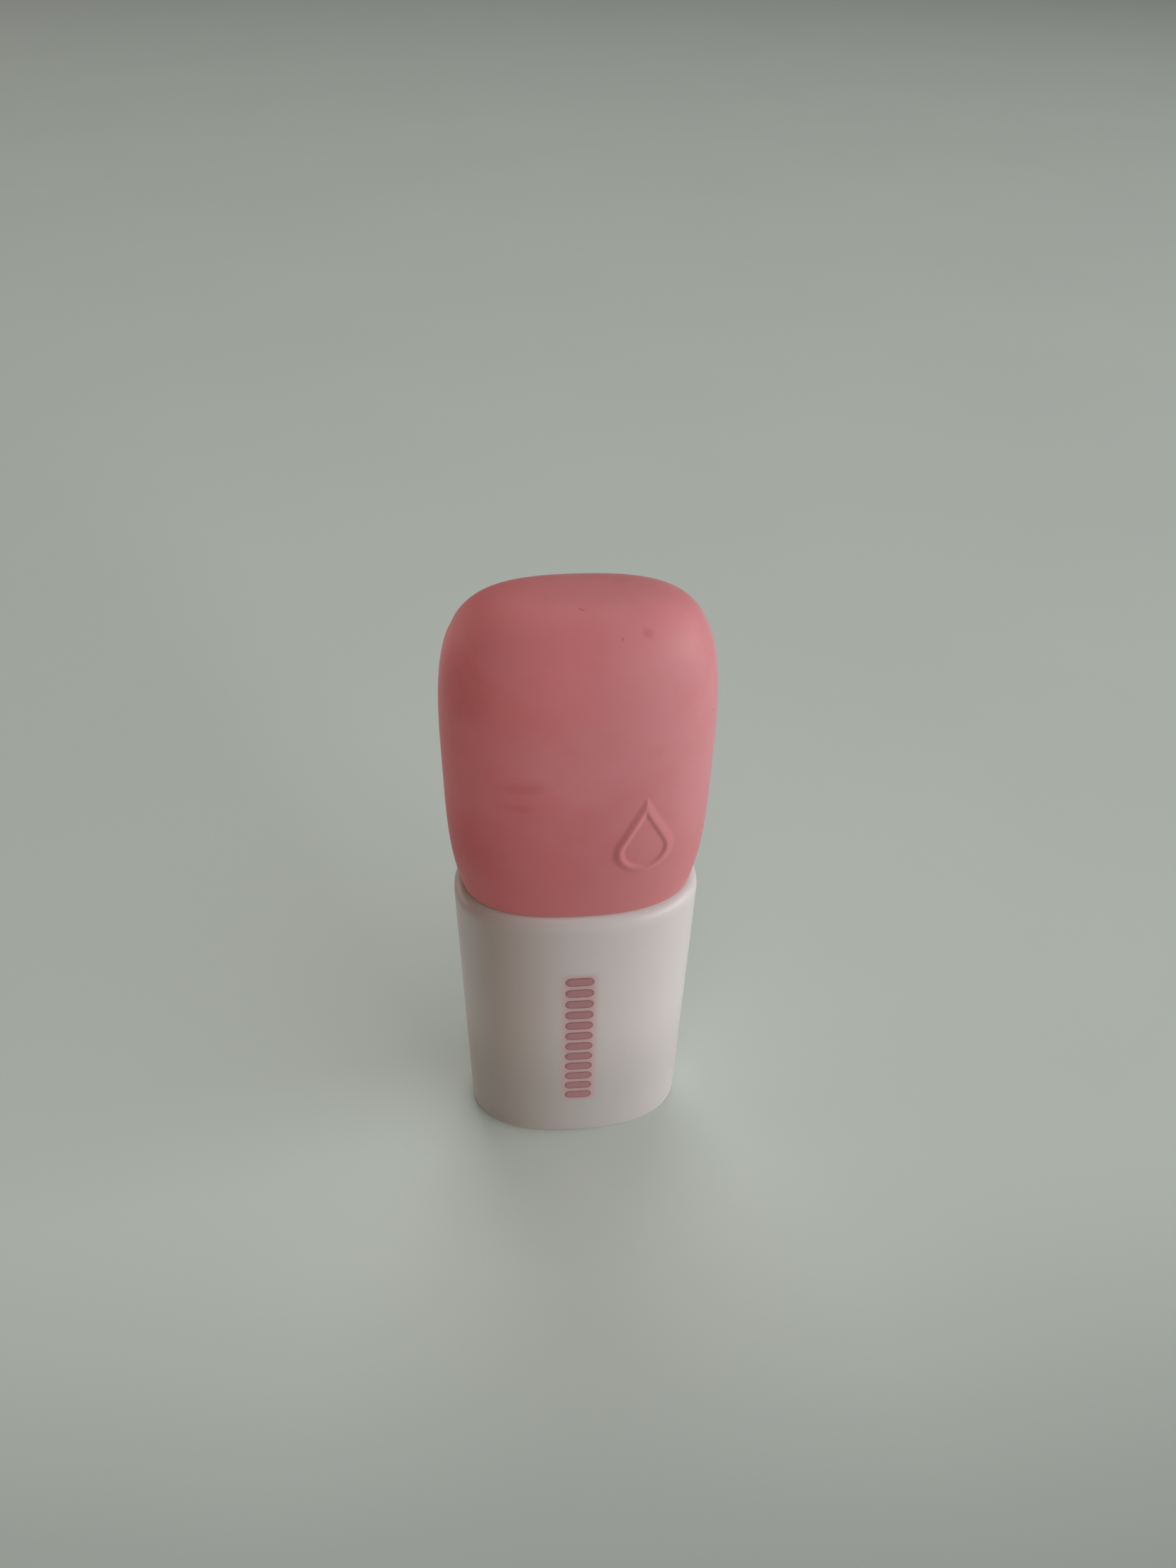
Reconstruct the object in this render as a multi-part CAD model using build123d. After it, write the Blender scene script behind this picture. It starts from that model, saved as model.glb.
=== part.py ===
"""A liquid lip tint: a flat oval bottle with a screw cap that carries the applicator.

Millimetres, +Z up, the origin at the middle of the bottle's base, the printed front facing -Y.
The bottle stands on its base. The cap turns about +Z on the neck's thread and lifts along +Z.
"""

from build123d import *
import os
from math import asin, copysign, cos, degrees, pi, sin, tau

# ---- driving sizes -------------------------------------------------------------------------

# whole outline
seam_height = 40.0  # the cap's lower rim
cap_height = 35.5  # from the rim to the top
seam_gap = 0.15  # between the bottle's shoulder and the cap's rim
oval_power = 2.4  # 2 would be an ellipse, more is squarer
oval_points = 32  # points of each plan outline
rounding_steps = 8  # sections of each rounded end

# neck and its thread
neck_radius = 4.55
neck_wall = 0.9
neck_length = 11.8
neck_rim_radius = 0.25
neck_root_radius = 0.5
thread_height = 0.45
thread_pitch = 3.0
thread_turns = 1.5
thread_root_width = 1.5
thread_crest_width = 0.7
thread_start = 2.6  # above the shoulder, at the ridge's middle
thread_sink = 0.25  # how far the ridge is rooted in the neck's wall
stop_bead_height = 0.9
stop_bead_length = 1.0

# cap shell
cap_wall = 1.1
cap_rim_half_width = 12.35
cap_belly_rise = 13.5  # from the rim up to the widest place
cap_belly_swell_x = 1.21
cap_belly_swell_y = 0.69
cap_flare_power = 3.0
cap_flare_steps = (0.0, 0.12, 0.3, 0.55, 0.8)  # sections from the rim up, as shares of the rise
cap_dome_power_x = 4.3  # 2 would be an ellipse, more is squarer
cap_dome_power_y = 3.2
cap_dome_steps = (1.0, 0.995, 0.96, 0.88, 0.77, 0.64, 0.5, 0.36)  # half widths as shares of the belly
cap_top_share = 0.22  # half width of the flat top, as a share of the belly
cap_rim_radius = 0.25
cap_rib_thickness = 1.0
cap_rib_boss_gap = 0.6

# plain outlined drop that stands out of the cap's front
mark_rise = 0.2
mark_line = 1.4
mark_radius = 3.3
mark_point_height = 7.0  # from the middle of the round part up to the tip
mark_x = 6.2
mark_height = 9.5  # the round part's middle above the rim

# inner cap
collar_wall = 0.8
collar_shell_gap = 0.09  # between the collar and the shell's front and back walls
groove_depth = 0.3
groove_side_clearance = 0.15
groove_lead_turns = 1.0  # groove below the ridge's start, open at the collar's mouth
flange_setback = 0.7  # from the cap's rim up to the flange
flange_thickness = 1.2
roof_thickness = 1.5
boss_wall = 1.45
boss_end_wall = 0.9
gusset_thickness = 0.9
gusset_height = 5.0
gusset_edge_gap = 1.6
stop_lug_height = 0.6
stop_lug_gap = 0.1

# liner washer
liner_thickness = 0.8

# wiper
wiper_wall = 0.55
wiper_flange_thickness = 0.7
wiper_flange_inset = 0.15
wiper_length = 11.0
wiper_funnel_length = 2.6
wiper_lip_length = 0.5
wiper_lip_wall = 0.4
wiper_bead = 0.2
wiper_bead_drop = 3.5
wiper_bead_length = 1.2

# applicator
stem_radius = 1.9
stem_collar_reach = 0.4
stem_collar_length = 0.7
stem_insertion = 4.6  # how far the stem reaches past the roof into the boss
stem_bead = 0.22
stem_bead_length = 1.0
stem_top_chamfer = 0.35
spigot_radius = 1.05
spigot_length = 4.5
spigot_barb = 0.2
spigot_barb_length = 0.9
tip_length = 13.0
tip_floor_gap = 3.4
tip_slant_length = 7.5
tip_slant_web = 1.2  # thickness left at the slant's thin end
tip_end_radius = 0.6

# bottle around its cavity
shoulder_overhang_x = 1.05  # the shoulder's half width past the cap's rim
shoulder_overhang_y = 0.75
base_taper_x = 0.3
base_taper_y = 0.17
base_edge_radius = 1.2
shoulder_radius = 1.6
side_wall = 3.0
face_wall = 1.7
floor_thickness = 3.2
shoulder_thickness = 3.2
cavity_radius = 2.0

# tint and label
fill_gap = 7.5  # air above the tint
well_clearance = 0.25
label_recess_depth = 0.35
label_margin = 3.6
label_edge_gap = 0.2
label_thickness = 0.12

# fits
moving_clearance = 0.1  # radial, between pieces that slide or screw past each other
wiping_clearance = 0.1  # radial, between the wiper's lip and the stem
fixed_clearance = 0.03  # between pieces that are pressed or snapped together
fluid_clearance = 0.05

# ---- sizes that follow ---------------------------------------------------------------------

total_height = seam_height + cap_height
shoulder_height = seam_height - seam_gap
neck_top = shoulder_height + neck_length
neck_bore_radius = neck_radius - neck_wall
cavity_top = shoulder_height - shoulder_thickness
fill_height = cavity_top - fill_gap

thread_radius = neck_radius + thread_height
collar_bore_radius = thread_radius + moving_clearance
collar_radius = collar_bore_radius + collar_wall
cap_rim_half_depth = collar_radius + collar_shell_gap + cap_wall
cap_belly_height = seam_height + cap_belly_rise
cap_belly_half_width = cap_rim_half_width + cap_belly_swell_x
cap_belly_half_depth = cap_rim_half_depth + cap_belly_swell_y

shoulder_half_width = cap_rim_half_width + shoulder_overhang_x
shoulder_half_depth = cap_rim_half_depth + shoulder_overhang_y
base_half_width = shoulder_half_width - base_taper_x
base_half_depth = shoulder_half_depth - base_taper_y

wiper_radius = neck_bore_radius - fixed_clearance
wiper_bore_radius = wiper_radius - wiper_wall
wiper_lip_radius = stem_radius + wiping_clearance
wiper_flange_top = neck_top + wiper_flange_thickness
wiper_bottom = neck_top - wiper_length
wiper_bead_middle = neck_top - wiper_bead_drop

liner_bottom = wiper_flange_top + fixed_clearance
liner_top = liner_bottom + liner_thickness
roof_bottom = liner_top + fixed_clearance
roof_top = roof_bottom + roof_thickness
flange_bottom = seam_height + flange_setback
flange_top = flange_bottom + flange_thickness

stem_collar_radius = stem_radius + stem_collar_reach
liner_hole_radius = stem_collar_radius + moving_clearance
boss_radius = stem_radius + fixed_clearance + boss_wall
stem_top = roof_top + stem_insertion
boss_top = stem_top + fixed_clearance + boss_end_wall
stem_bead_middle = roof_top + stem_insertion / 2
tip_bottom = floor_thickness + tip_floor_gap
stem_bottom = tip_bottom + tip_length
spigot_bottom = stem_bottom - spigot_length


# ---- shapes used by more than one piece ------------------------------------------------------


def oval(half_width, half_depth, height):
    """A flat oval face at the given height."""
    points = []
    for step in range(oval_points):
        angle = tau * step / oval_points
        across, along = cos(angle), sin(angle)
        x = copysign(abs(across) ** (2 / oval_power), across) * half_width
        y = copysign(abs(along) ** (2 / oval_power), along) * half_depth
        points.append(Vector(x, y, height))
    return Face(Wire([Edge.make_spline(points, periodic=True)]))


def cap_half_sizes(height):
    """The cap's outer half width and half depth at a height below its widest place."""
    below = (cap_belly_height - height) / cap_belly_rise
    swell = 1 - below**cap_flare_power
    return cap_rim_half_width + swell * cap_belly_swell_x, cap_rim_half_depth + swell * cap_belly_swell_y


def cap_solid(inset):
    """The cap's outline as a solid, moved inwards by inset."""
    sections = []
    for share in cap_flare_steps:
        height = seam_height + share * cap_belly_rise
        half_width, half_depth = cap_half_sizes(height)
        sections.append(oval(half_width - inset, half_depth - inset, height))
    dome_height = total_height - cap_belly_height - inset
    flat_rise = (1 - cap_top_share**cap_dome_power_x) ** (1 / cap_dome_power_x)
    for share in cap_dome_steps + (cap_top_share,):
        rise = (1 - share**cap_dome_power_x) ** (1 / cap_dome_power_x)
        half_width = share * (cap_belly_half_width - inset)
        half_depth = (1 - rise**cap_dome_power_y) ** (1 / cap_dome_power_y) * (cap_belly_half_depth - inset)
        sections.append(oval(half_width, half_depth, cap_belly_height + rise / flat_rise * dome_height))
    return loft(sections)


def rounded_oval(lower, upper, bottom, top, lower_radius, upper_radius):
    """An upright oval solid with straight sides and both ends rounded.

    lower and upper are its (half width, half depth) at the bottom and top, before rounding.
    """

    def section(height, inset):
        share = (height - bottom) / (top - bottom)
        half_width = lower[0] + share * (upper[0] - lower[0])
        half_depth = lower[1] + share * (upper[1] - lower[1])
        return oval(half_width - inset, half_depth - inset, height)

    turns = [pi / 2 * step / rounding_steps for step in range(rounding_steps + 1)]
    foot = loft([section(bottom + lower_radius * (1 - cos(t)), lower_radius * (1 - sin(t))) for t in turns])
    wall = loft([section(bottom + lower_radius, 0), section(top - upper_radius, 0)])
    head = loft([section(top - upper_radius * (1 - sin(t)), upper_radius * (1 - cos(t))) for t in turns])
    return foot + wall + head


def cavity(inset):
    """The room inside the bottle, moved inwards by inset."""
    return rounded_oval(
        (base_half_width - side_wall - inset, base_half_depth - face_wall - inset),
        (shoulder_half_width - side_wall - inset, shoulder_half_depth - face_wall - inset),
        floor_thickness + inset,
        cavity_top - inset,
        cavity_radius - inset,
        cavity_radius - inset,
    )


def disc(radius, bottom, top):
    """An upright cylinder between two heights."""
    return Pos(0, 0, bottom) * extrude(Circle(radius), amount=top - bottom)


def turned(points):
    """A ring or rod turned about Z from the (radius, height) corners of its half section."""
    corners = [(radius, 0, height) for radius, height in points]
    return revolve(make_face(Polyline(*corners, close=True)), Axis.Z)


def turned_bead(radius, reach, middle, length, root):
    """A ring with a triangular crest, rooted inside the given radius."""
    half = length / 2
    return turned(
        [
            (radius - root, middle - half),
            (radius, middle - half),
            (radius + reach, middle),
            (radius, middle + half),
            (radius - root, middle + half),
        ]
    )


def helical_ridge(radius, reach, sink, middle, turns, root_width, crest_width):
    """A trapezoid carried along a helix that starts on +X with its middle at the given height."""
    path = Helix(pitch=thread_pitch, height=thread_pitch * turns, radius=radius, center=(0, 0, middle))
    start = Plane(origin=path @ 0, x_dir=(1, 0, 0), z_dir=path % 0)
    root, crest = root_width / 2, crest_width / 2
    outline = [(-sink, -root), (0, -root), (reach, -crest), (reach, crest), (0, root), (-sink, root)]
    section = start * make_face(Polyline(*outline, close=True))
    return sweep(section, path=path, is_frenet=True)


# ---- bottle and what stays in it -------------------------------------------------------------


def make_bottle():
    """Thick-walled bottle with its neck, thread, cavity and label recess."""
    body = rounded_oval(
        (base_half_width, base_half_depth),
        (shoulder_half_width, shoulder_half_depth),
        0,
        shoulder_height,
        base_edge_radius,
        shoulder_radius,
    )

    neck = disc(neck_radius, shoulder_height - shoulder_thickness / 2, neck_top)
    neck = fillet(neck.edges().group_by(Axis.Z)[-1], neck_rim_radius)
    root = turned(
        [
            (neck_radius - thread_sink, shoulder_height - thread_sink),
            (neck_radius + neck_root_radius, shoulder_height - thread_sink),
            (neck_radius + neck_root_radius, shoulder_height),
            (neck_radius, shoulder_height + neck_root_radius),
            (neck_radius - thread_sink, shoulder_height + neck_root_radius),
        ]
    )
    bead_reach = thread_height + thread_sink
    stop_bead = Pos(-neck_radius - thread_height + bead_reach / 2, 0, shoulder_height) * Box(
        bead_reach, stop_bead_length, stop_bead_height, align=(Align.CENTER, Align.CENTER, Align.MIN)
    )
    thread = helical_ridge(
        neck_radius,
        thread_height,
        thread_sink,
        shoulder_height + thread_start,
        thread_turns,
        thread_root_width,
        thread_crest_width,
    )
    outside = body + neck + root + stop_bead + thread

    bore = disc(neck_bore_radius, cavity_top - cavity_radius, neck_top)
    bead_groove = turned_bead(
        neck_bore_radius, wiper_bead, wiper_bead_middle, wiper_bead_length, fixed_clearance
    )
    recess = extrude(
        oval(base_half_width - label_margin, base_half_depth - label_margin, 0), amount=label_recess_depth
    )
    return outside - cavity(0) - bore - bead_groove - recess


def make_wiper():
    """Soft insert in the neck, with a funnel that ends in a lip around the stem."""
    flange_radius = neck_radius - wiper_flange_inset
    half_bead = wiper_bead_length / 2
    funnel_top = wiper_bottom + wiper_funnel_length
    return turned(
        [
            (wiper_bore_radius, wiper_flange_top),
            (flange_radius, wiper_flange_top),
            (flange_radius, neck_top),
            (wiper_radius, neck_top),
            (wiper_radius, wiper_bead_middle + half_bead),
            (wiper_radius + wiper_bead, wiper_bead_middle),
            (wiper_radius, wiper_bead_middle - half_bead),
            (wiper_radius, funnel_top),
            (wiper_lip_radius + wiper_lip_wall, wiper_bottom),
            (wiper_lip_radius, wiper_bottom),
            (wiper_lip_radius, wiper_bottom + wiper_lip_length),
            (wiper_bore_radius, funnel_top),
        ]
    )


def make_tint():
    """The liquid, with a well where the applicator stands in it."""
    above = Pos(0, 0, fill_height) * Box(
        2 * shoulder_half_width,
        2 * shoulder_half_depth,
        total_height,
        align=(Align.CENTER, Align.CENTER, Align.MIN),
    )
    well = disc(stem_radius + well_clearance, tip_bottom - well_clearance, fill_height)
    return cavity(fluid_clearance) - above - well


def make_base_label():
    """Thin oval label in the recess under the bottle."""
    half_width = base_half_width - label_margin - label_edge_gap
    half_depth = base_half_depth - label_margin - label_edge_gap
    return extrude(oval(half_width, half_depth, label_recess_depth - label_thickness), amount=label_thickness)


# ---- cap and applicator ----------------------------------------------------------------------


def drop(radius):
    """A round drop with a straight-sided point, its round part about the origin."""
    point_height = mark_point_height * radius / mark_radius
    side = asin(radius / point_height)
    touch_x, touch_y = radius * cos(side), radius * sin(side)
    return make_face(
        [
            Line((touch_x, touch_y), (0, point_height)),
            Line((0, point_height), (-touch_x, touch_y)),
            ThreePointArc((-touch_x, touch_y), (0, -radius), (touch_x, touch_y)),
        ]
    )


def make_cap_shell():
    """Outer shell of the cap, with the raised drop and the two ribs that hold the inner cap down."""
    outside = cap_solid(0)
    outside = fillet(outside.edges().group_by(Axis.Z)[0], cap_rim_radius)
    shell = outside - cap_solid(cap_wall)

    rib_start = boss_radius + cap_rib_boss_gap
    rib_bottom = roof_top + fixed_clearance
    rib_reach = cap_belly_half_width - rib_start
    rib_height = total_height - rib_bottom
    inside = cap_solid(cap_wall / 2)
    for side in (-1, 1):
        plate = Pos(side * (rib_start + rib_reach / 2), 0, rib_bottom) * Box(
            rib_reach, cap_rib_thickness, rib_height, align=(Align.CENTER, Align.CENTER, Align.MIN)
        )
        shell += plate & inside

    middle = (mark_x, -cap_belly_half_depth - mark_rise, seam_height + mark_height)
    front = Plane(origin=middle, x_dir=(1, 0, 0), z_dir=(0, -1, 0))
    outline = drop(mark_radius) - drop(mark_radius - mark_line)
    skin = cap_solid(-mark_rise) - cap_solid(cap_wall / 2)
    return shell + (extrude(front * outline, amount=-cap_belly_half_depth) & skin)


def make_inner_cap():
    """Threaded collar inside the shell, with its flange, roof, gussets and the stem's boss."""
    collar = disc(collar_radius, flange_bottom, roof_top) + disc(boss_radius, roof_top, boss_top)
    gap = cap_wall + fixed_clearance
    lower, upper = cap_half_sizes(flange_bottom), cap_half_sizes(flange_top)
    flange = loft(
        [oval(lower[0] - gap, lower[1] - gap, flange_bottom), oval(upper[0] - gap, upper[1] - gap, flange_top)]
    )
    piece = collar + flange

    gusset_end = lower[0] - gap - gusset_edge_gap
    root = collar_radius - collar_wall / 2
    for side in (-1, 1):
        corners = [
            (side * root, 0, flange_top - flange_thickness / 2),
            (side * gusset_end, 0, flange_top - flange_thickness / 2),
            (side * gusset_end, 0, flange_top),
            (side * root, 0, flange_top + gusset_height),
        ]
        piece += extrude(make_face(Polyline(*corners, close=True)), amount=gusset_thickness / 2, both=True)

    lug_reach = collar_wall
    lug_middle = collar_radius - lug_reach / 2
    lug_turn = -degrees(asin((stop_bead_length + stop_lug_gap) / thread_radius))
    lug = Pos(-lug_middle, 0, flange_bottom) * Box(
        lug_reach, stop_bead_length, stop_lug_height, align=(Align.CENTER, Align.CENTER, Align.MAX)
    )
    piece += Rot(0, 0, lug_turn) * lug

    groove = helical_ridge(
        collar_bore_radius,
        groove_depth,
        thread_sink,
        shoulder_height + thread_start - groove_lead_turns * thread_pitch,
        thread_turns + groove_lead_turns,
        thread_root_width + 2 * groove_side_clearance,
        thread_crest_width + 2 * groove_side_clearance,
    )
    bore = disc(collar_bore_radius, flange_bottom - stop_lug_height, roof_bottom)
    socket = disc(stem_radius + fixed_clearance, roof_bottom, stem_top + fixed_clearance)
    bead_groove = turned_bead(
        stem_radius + fixed_clearance, stem_bead, stem_bead_middle, stem_bead_length, fixed_clearance
    )
    return piece - bore - groove - socket - bead_groove


def make_cap_liner():
    """Sealing washer between the inner cap's roof and the wiper's flange."""
    outer = collar_bore_radius - moving_clearance
    return disc(outer, liner_bottom, liner_top) - disc(liner_hole_radius, liner_bottom, liner_top)


def make_applicator_stem():
    """Round rod, held in the boss by a bead, with a barbed spigot for the tip."""
    collar_top = roof_bottom - fixed_clearance
    collar_bottom = collar_top - stem_collar_length
    barb_bottom = spigot_bottom + spigot_barb_length
    half_bead = stem_bead_length / 2
    return turned(
        [
            (0, stem_top),
            (stem_radius - stem_top_chamfer, stem_top),
            (stem_radius, stem_top - stem_top_chamfer),
            (stem_radius, stem_bead_middle + half_bead),
            (stem_radius + stem_bead, stem_bead_middle),
            (stem_radius, stem_bead_middle - half_bead),
            (stem_radius, collar_top),
            (stem_collar_radius, collar_top),
            (stem_collar_radius, collar_bottom),
            (stem_radius, collar_bottom),
            (stem_radius, stem_bottom),
            (spigot_radius, stem_bottom),
            (spigot_radius, barb_bottom + spigot_barb),
            (spigot_radius + spigot_barb, barb_bottom),
            (spigot_radius, spigot_bottom),
            (0, spigot_bottom),
        ]
    )


def make_applicator_tip():
    """Flocked tip with a slanted face, pushed onto the stem's spigot."""
    tip_top = stem_bottom - fixed_clearance
    tip = disc(stem_radius, tip_bottom, tip_top)
    tip = fillet(tip.edges().group_by(Axis.Z)[0], tip_end_radius)

    thin_y = stem_radius - tip_slant_web
    slant_top = tip_bottom + tip_slant_length
    corners = [
        (0, -2 * stem_radius, slant_top),
        (0, -stem_radius, slant_top),
        (0, thin_y, tip_bottom),
        (0, thin_y, tip_bottom - tip_end_radius),
        (0, -2 * stem_radius, tip_bottom - tip_end_radius),
    ]
    slant = extrude(make_face(Polyline(*corners, close=True)), amount=2 * stem_radius, both=True)

    gap = fixed_clearance
    barb_bottom = spigot_bottom + spigot_barb_length
    socket = turned(
        [
            (0, tip_top + gap),
            (spigot_radius + gap, tip_top + gap),
            (spigot_radius + gap, barb_bottom + spigot_barb + gap),
            (spigot_radius + spigot_barb + gap, barb_bottom + gap),
            (spigot_radius + spigot_barb + gap, barb_bottom - gap),
            (spigot_radius + gap, spigot_bottom - gap),
            (0, spigot_bottom - gap),
        ]
    )
    return tip - slant - socket


pieces = {
    "bottle": make_bottle,
    "wiper": make_wiper,
    "lip_tint": make_tint,
    "base_label": make_base_label,
    "cap_shell": make_cap_shell,
    "inner_cap": make_inner_cap,
    "cap_liner": make_cap_liner,
    "applicator_stem": make_applicator_stem,
    "applicator_tip": make_applicator_tip,
}

os.makedirs("parts", exist_ok=True)
for node, make in pieces.items():
    export_step(make(), f"parts/{node}.step")
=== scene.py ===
import math
import random
import bpy
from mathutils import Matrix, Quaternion, Vector


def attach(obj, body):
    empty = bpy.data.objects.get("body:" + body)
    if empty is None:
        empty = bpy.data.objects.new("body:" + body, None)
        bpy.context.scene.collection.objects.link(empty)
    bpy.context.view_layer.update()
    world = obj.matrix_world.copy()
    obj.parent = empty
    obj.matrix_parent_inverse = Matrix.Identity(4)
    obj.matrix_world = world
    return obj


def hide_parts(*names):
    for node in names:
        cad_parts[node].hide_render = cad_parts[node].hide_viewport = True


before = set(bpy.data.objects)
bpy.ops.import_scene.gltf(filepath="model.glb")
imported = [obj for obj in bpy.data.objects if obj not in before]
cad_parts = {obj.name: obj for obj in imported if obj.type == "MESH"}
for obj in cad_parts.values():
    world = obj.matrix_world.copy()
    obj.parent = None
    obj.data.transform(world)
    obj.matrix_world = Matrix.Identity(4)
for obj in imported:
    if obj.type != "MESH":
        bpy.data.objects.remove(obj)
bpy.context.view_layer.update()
mm = 0.001
sharpAngle = 48  # degrees between two faces from which the edge between them is sharp

# small helpers that every piece uses; sizes are in mm unless a note says otherwise


def paint(red, green, blue):
    # a 0-255 screen colour as the linear colour a shader takes
    shares = [value / 255 for value in (red, green, blue)]
    return [s / 12.92 if s < 0.04045 else ((s + 0.055) / 1.055) ** 2.4 for s in shares] + [1.0]


def smooth(value, low, high):
    share = min(1.0, max(0.0, (value - low) / (high - low)))
    return share * share * (3 - 2 * share)


def spread(first, last, count):
    # count values from first to last, both included
    return [first + (last - first) * step / (count - 1) for step in range(count)]


def quarterTurn(count):
    # angles round a rounded edge
    return spread(0, math.pi / 2, count)


def node(tree, kind, inputs=None, **settings):
    # adds a shader node; a socket given as an input is linked, anything else is its value
    made = tree.nodes.new("ShaderNode" + kind)
    for setting, value in settings.items():
        setattr(made, setting, value)
    for socket, value in (inputs or {}).items():
        if isinstance(value, bpy.types.NodeSocket):
            tree.links.new(value, made.inputs[socket])
        else:
            made.inputs[socket].default_value = value
    return made


def newFinish(name, sockets):
    # a material with these values on its shader; returns material, tree, shader, object coordinates
    material = bpy.data.materials.new(name)
    material.use_nodes = True
    tree = material.node_tree
    shader = tree.nodes["Principled BSDF"]
    for socket, value in sockets.items():
        shader.inputs[socket].default_value = value
    place = tree.nodes.new("ShaderNodeTexCoord").outputs["Object"]
    return material, tree, shader, place


def setColour(tree, shader, colour):
    tree.links.new(colour, shader.inputs["Base Color"])


def noise(tree, place, size, detail=2.0, rough=0.5, stretch=None):
    # soft noise whose blotches are about size mm across, 0 to 1
    if stretch:
        place = node(tree, "Mapping", {"Vector": place, "Scale": stretch}).outputs["Vector"]
    inputs = {"Vector": place, "Scale": 1 / (size * mm), "Detail": detail, "Roughness": rough}
    return node(tree, "TexNoise", inputs).outputs["Fac"]


def ramp(tree, value, low, high, toLow=0.0, toHigh=1.0):
    inputs = {"Value": value, "From Min": low, "From Max": high, "To Min": toLow, "To Max": toHigh}
    return node(tree, "MapRange", inputs, interpolation_type="SMOOTHSTEP").outputs["Result"]


def fade(tree, value, reach, toLow=0.0, toHigh=1.0):
    # a ramp along a coordinate, between two places in mm
    low, high = (edge * mm for edge in reach)
    return ramp(tree, value, low, high, toLow, toHigh)


def blotches(tree, place, size, levels, values=(0.0, 1.0), detail=2.0, rough=0.5):
    # noise whose levels, from the low one to the high one, become these values
    return ramp(tree, noise(tree, place, size, detail, rough), *levels, *values)


def calc(tree, operation, first, second=0.0):
    return node(tree, "Math", {0: first, 1: second}, operation=operation).outputs["Value"]


def between(tree, value, low, high, soft):
    # 1 between low and high, fading over soft
    rise = fade(tree, value, (low, low + soft))
    fall = fade(tree, value, (high - soft, high), 1, 0)
    return calc(tree, "MULTIPLY", rise, fall)


def blend(tree, factor, first, second):
    inputs = {"Factor": factor, 6: first, 7: second}
    return node(tree, "Mix", inputs, data_type="RGBA").outputs[2]


def bump(tree, shader, height, depth):
    # height 0 to 1 pushes the surface by depth mm
    inputs = {"Height": height, "Distance": depth * mm, "Strength": 1.0}
    tree.links.new(node(tree, "Bump", inputs).outputs["Normal"], shader.inputs["Normal"])


def grain(tree, shader, place, depth, size, detail=2.0, rough=0.5):
    # fine unevenness, depth mm deep and about size mm across
    bump(tree, shader, noise(tree, place, size, detail, rough), depth)


def addPiece(name, points, faces, finish, body, replaced=()):
    # a mesh from millimetre points, in place of the CAD nodes in replaced
    mesh = bpy.data.meshes.new(name)
    mesh.from_pydata([[value * mm for value in point] for point in points], [], faces)
    mesh.validate()
    mesh.polygons.foreach_set("use_smooth", [True] * len(mesh.polygons))
    mesh.set_sharp_from_angle(angle=math.radians(sharpAngle))
    mesh.materials.append(finish)
    piece = bpy.data.objects.new(name, mesh)
    bpy.context.scene.collection.objects.link(piece)
    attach(piece, body)
    if replaced:
        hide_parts(*replaced)
    print(f"{name}: {len(faces)} faces")


def loftRings(rings):
    # quads between rings that have as many points; the first and last close onto their middle
    count = len(rings[0])
    points = [point for ring in rings for point in ring]
    faces = []
    for level in range(len(rings) - 1):
        for step in range(count):
            after = (step + 1) % count
            low, high = level * count, (level + 1) * count
            faces.append((low + step, low + after, high + after, high + step))
    for ring, start, flip in ((rings[0], 0, True), (rings[-1], (len(rings) - 1) * count, False)):
        middle = len(points)
        points.append([sum(point[axis] for point in ring) / count for axis in range(3)])
        for step in range(count):
            pair = (start + step, start + (step + 1) % count)
            faces.append((pair[1], pair[0], middle) if flip else (pair[0], pair[1], middle))
    return points, faces


# the camera stands where the photo was taken from

camera = {
    "eye": (-7.5, -88.7, 129.7),
    "heading": 5.55,  # degrees to the right of straight ahead
    "pitch": 41.0,  # degrees below the horizon
    "roll": 1.3,  # degrees that the picture is turned clockwise
    "focalPixels": 1620,
    "imageHeight": 2212,  # pixels
    "sensor": 36.0,
    "nearest": 5.0,  # what is closer isn't drawn
}


def placeCamera():
    heading, pitch, roll = (math.radians(camera[key]) for key in ("heading", "pitch", "roll"))
    ahead = math.cos(pitch)
    forward = Vector((math.sin(heading) * ahead, math.cos(heading) * ahead, -math.sin(pitch)))
    data = bpy.data.cameras.new("photoCamera")
    data.sensor_width = camera["sensor"]
    data.lens = camera["sensor"] * camera["focalPixels"] / camera["imageHeight"]
    data.clip_start = camera["nearest"] * mm
    eye = bpy.data.objects.new("photoCamera", data)
    eye.location = Vector(camera["eye"]) * mm
    eye.rotation_mode = "QUATERNION"
    eye.rotation_quaternion = forward.to_track_quat("-Z", "Y") @ Quaternion((0, 0, 1), roll)
    bpy.context.scene.collection.objects.link(eye)
    bpy.context.scene.camera = eye


placeCamera()
print("camera placed")


# a wide low window at the right, a warm bounce from the back left, and soft light from above

lights = {  # turn and rise in degrees, size in metres, power in watts
    "window": {"turn": -27, "rise": 15, "size": (2.0, 0.9), "power": 23, "colour": (0.96, 0.99, 1.0)},
    "warmBounce": {"turn": 162, "rise": 11, "size": (1.4, 0.6), "power": 5.2, "colour": (1.0, 0.9, 0.84)},
    "ceiling": {"turn": 80, "rise": 82, "size": (0.4, 0.4), "power": 2.6, "colour": (1, 1, 1)},
    "back": {"turn": 90, "rise": 60, "size": (0.8, 0.8), "power": 3.2, "colour": (1, 1, 1)},
    "front": {"turn": -90, "rise": 60, "size": (0.8, 0.8), "power": 3.0, "colour": (1, 1, 1)},
}
room = {
    "lightDistance": 1.6,  # metres
    "colour": paint(190, 194, 190),
    "strength": 0.03,  # as light on the part
    "backdrop": 0.75,  # as the pale backdrop behind the desk
}
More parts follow.
